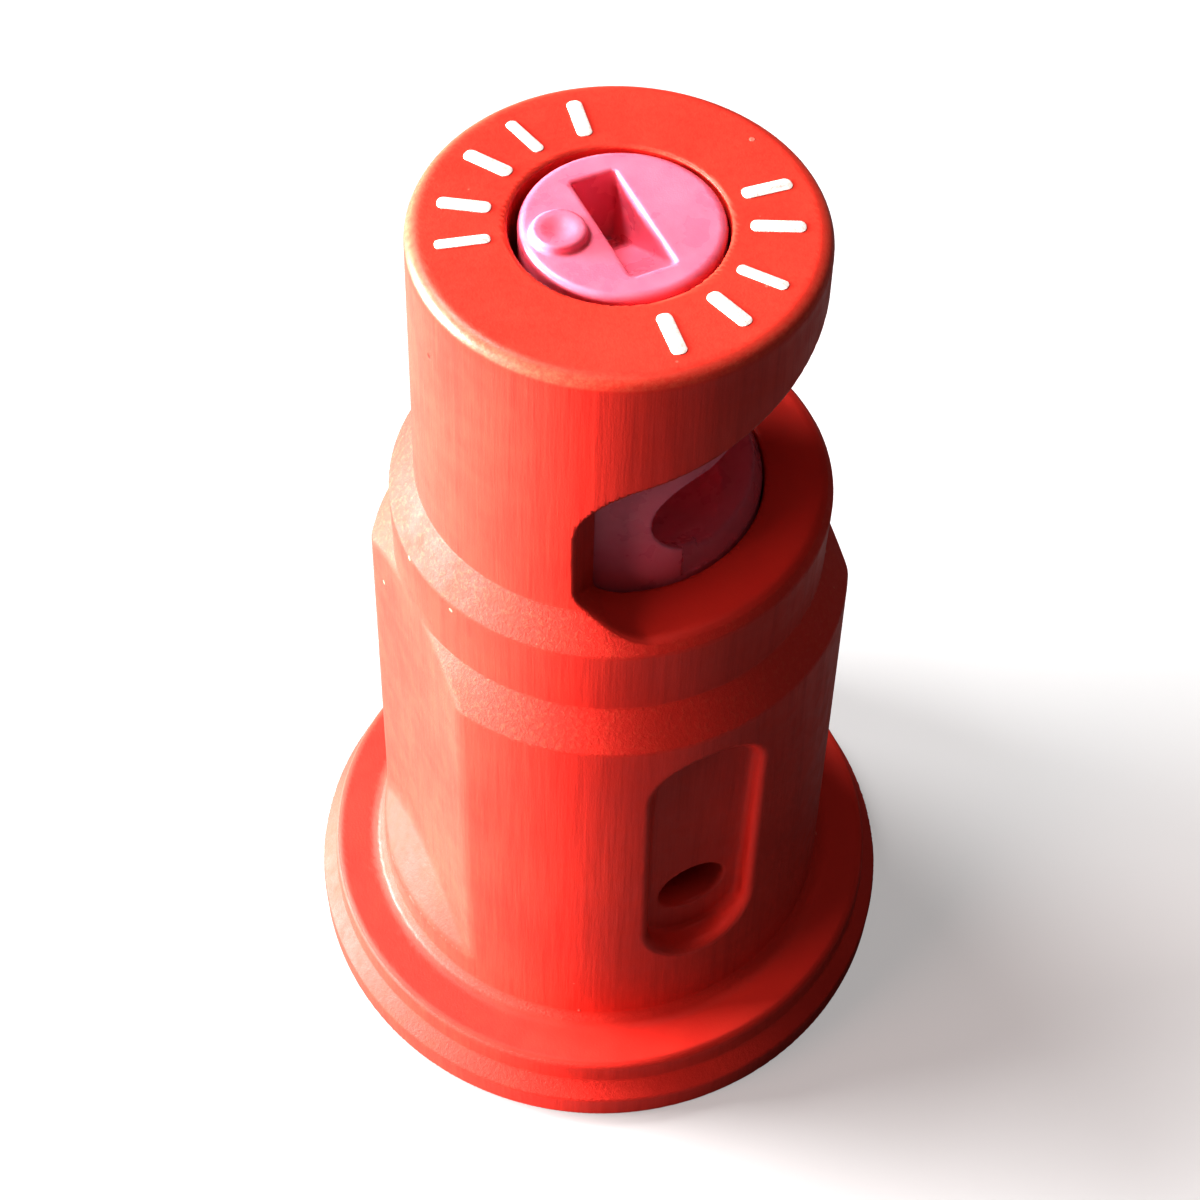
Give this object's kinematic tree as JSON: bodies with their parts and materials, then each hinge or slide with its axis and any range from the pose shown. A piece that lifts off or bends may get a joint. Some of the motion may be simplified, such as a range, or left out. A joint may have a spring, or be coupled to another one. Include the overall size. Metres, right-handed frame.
{
  "type": "air-induction deflector spray nozzle tip",
  "caption": "Flanged plastic spray tip with side air inlets, a ceramic deflector behind an angled side window and a pull-out injector with a ceramic metering disc.",
  "frame": {"origin": "centre of the flange's underside, at the inlet end", "axes": "+Z along the nozzle from the inlet flange to the head; +X the way the spray window opens; the air inlets face -Y and +Y"},
  "size_m": [0.015, 0.015, 0.024],
  "materials": {
    "body_plastic": "satin moulded acetal, red-orange",
    "pink_ceramic": "fine fired alumina, satin pink",
    "seal_rubber": "smooth black nitrile",
    "inner_plastic": "satin moulded black acetal"
  },
  "bodies": {
    "tip": {"nozzle_body": "body_plastic", "deflector_insert": "pink_ceramic", "deflector_seal": "seal_rubber", "venturi_tube": "inner_plastic"},
    "injector": {"injector_holder": "inner_plastic", "holder_o_ring": "seal_rubber", "metering_orifice": "pink_ceramic"}
  },
  "joints": [
    {"name": "injector_pull", "type": "slide", "parent": "tip", "child": "injector", "axis": [0, 0, -1], "range_m": [0, 0.008]}
  ]
}
